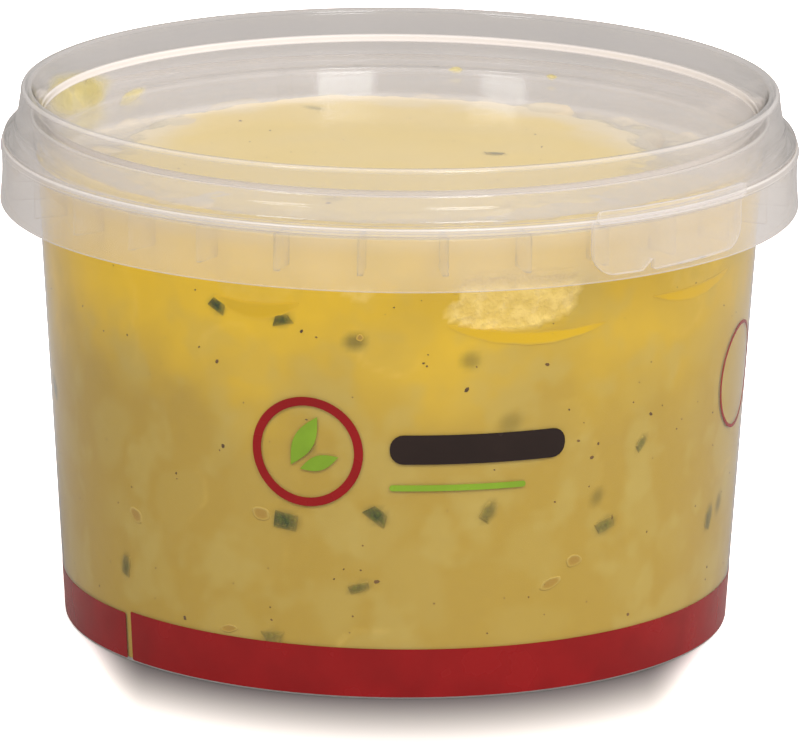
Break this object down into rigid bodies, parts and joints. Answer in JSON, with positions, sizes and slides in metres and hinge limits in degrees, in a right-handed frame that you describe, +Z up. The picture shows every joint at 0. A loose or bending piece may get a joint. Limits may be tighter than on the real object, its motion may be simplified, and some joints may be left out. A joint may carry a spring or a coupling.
{
  "type": "potato salad in a lidded tub",
  "caption": "Round clear plastic tub of creamy potato salad with chives, shut by a clear press-on lid with a sunken panel, with a tear tab on the tub's collar.",
  "frame": {"origin": "centre of the foot ring, in the plane that the tub stands on", "axes": "+Z up along the tub's axis; the front faces -Y, with the tear tab to the right of it towards +X"},
  "size_m": [0.118, 0.118, 0.0798],
  "materials": {
    "tub_plastic": "injection-moulded natural polypropylene: clear with a slight milky haze, glossy, whiter where it is seen edge-on",
    "lid_plastic": "thin injection-moulded natural polypropylene: clear with a slight milky haze, glossy",
    "potato_salad": "pale yellow boiled potato pieces in a creamy mayonnaise dressing, wet and slightly glossy",
    "chives": "short cut lengths of chive, dark olive green, wet with dressing",
    "red_print": "deep red print on the wall, under the wall's gloss"
  },
  "bodies": {
    "root": {"tub": "tub_plastic", "lid": "lid_plastic", "salad": "potato_salad"}
  },
  "joints": []
}
